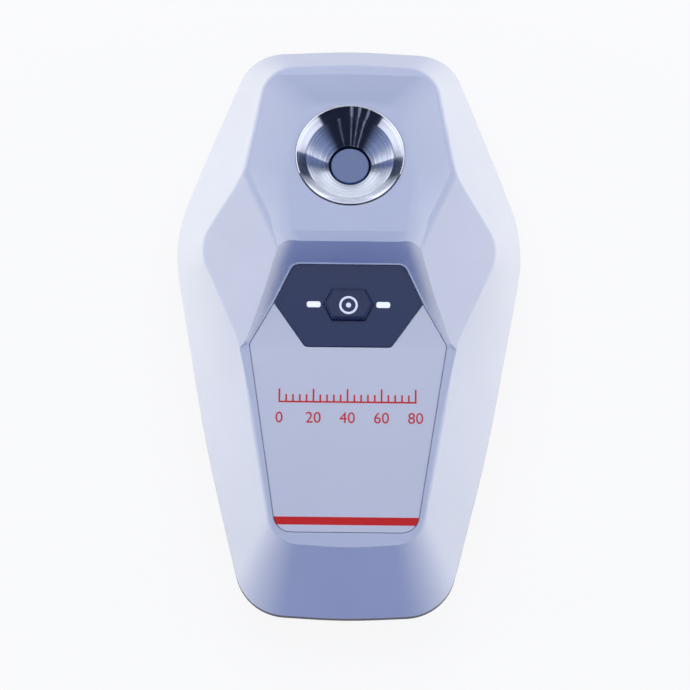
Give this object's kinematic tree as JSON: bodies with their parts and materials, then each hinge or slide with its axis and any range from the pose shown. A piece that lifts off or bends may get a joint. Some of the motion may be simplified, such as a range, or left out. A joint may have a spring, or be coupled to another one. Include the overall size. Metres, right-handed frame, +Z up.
{
  "type": "abbe refractometer",
  "caption": "Pocket digital Abbe-type refractometer with a sunken steel sample well over a prism, a faceted housing, one key and a sliding battery door.",
  "frame": {"origin": "on the table, under the middle of the housing outline", "axes": "+X to the right, +Y from the label end to the sample well, +Z up; the instrument lies on its four feet"},
  "size_m": [0.0694, 0.1212, 0.032],
  "materials": {
    "base_grey": "fine matt",
    "board_green": "solder mask",
    "cell_jacket": "printed sleeve",
    "chip_black": "moulded",
    "connector_ivory": "moulded",
    "contact_nickel": "nickel plated",
    "cradle_black": "moulded",
    "dish_steel": "turned",
    "fastener_steel": "bright zinc",
    "foot_rubber": "matt",
    "guide_clear": "frosted clear",
    "housing_white": "fine satin",
    "key_panel_navy": "satin",
    "key_rubber": "soft matt",
    "label_film": "satin film",
    "lamp_white": "moulded",
    "lens_glass": "polished",
    "nut_aluminium": "plain",
    "optics_black": "matt",
    "prism_glass": "polished",
    "ribbon_amber": "film",
    "seal_rubber": "matt",
    "switch_black": "moulded"
  },
  "bodies": {
    "case": {"battery_cradle": "cradle_black", "board_screws": "fastener_steel", "bridge_contact": "contact_nickel", "channel_board_screws": "fastener_steel", "collimator_lens": "lens_glass", "control_board": "board_green", "cradle_screws": "fastener_steel", "dish_gasket": "seal_rubber", "dish_nut": "nut_aluminium", "feet": "foot_rubber", "front_spring": "contact_nickel", "housing_gasket": "seal_rubber", "housing_screws": "fastener_steel", "indicator_lamps": "lamp_white", "key_panel": "key_panel_navy", "label_plate": "label_film", "left_cell": "cell_jacket", "left_contact": "contact_nickel", "left_light_guide": "guide_clear", "light_board": "board_green", "light_connector": "connector_ivory", "light_ribbon": "ribbon_amber", "light_source": "lamp_white", "line_sensor": "chip_black", "lower_housing": "base_grey", "memory_chip": "chip_black", "optics_block": "optics_black", "optics_screws": "fastener_steel", "prism": "prism_glass", "prism_seal": "seal_rubber", "processor": "chip_black", "radio_module": "contact_nickel", "rear_spring": "contact_nickel", "ribbon_connector": "connector_ivory", "right_cell": "cell_jacket", "right_contact": "contact_nickel", "right_light_guide": "guide_clear", "sample_dish": "dish_steel", "sensor_board": "board_green", "sensor_ribbon": "ribbon_amber", "tact_switch": "switch_black", "temperature_probe": "chip_black", "upper_housing": "housing_white"},
    "power_key": {"power_key": "key_rubber", "switch_plunger": "switch_black"},
    "battery_door": {"battery_door": "base_grey"}
  },
  "joints": [
    {"name": "key_press", "type": "slide", "parent": "case", "child": "power_key", "axis": [0, 0.1132, -0.9936], "range_m": [0, 0.0005], "stiffness_N_per_m": 1200},
    {"name": "door_slide", "type": "slide", "parent": "case", "child": "battery_door", "axis": [0, -1, 0], "range_m": [0, 0.052]}
  ]
}
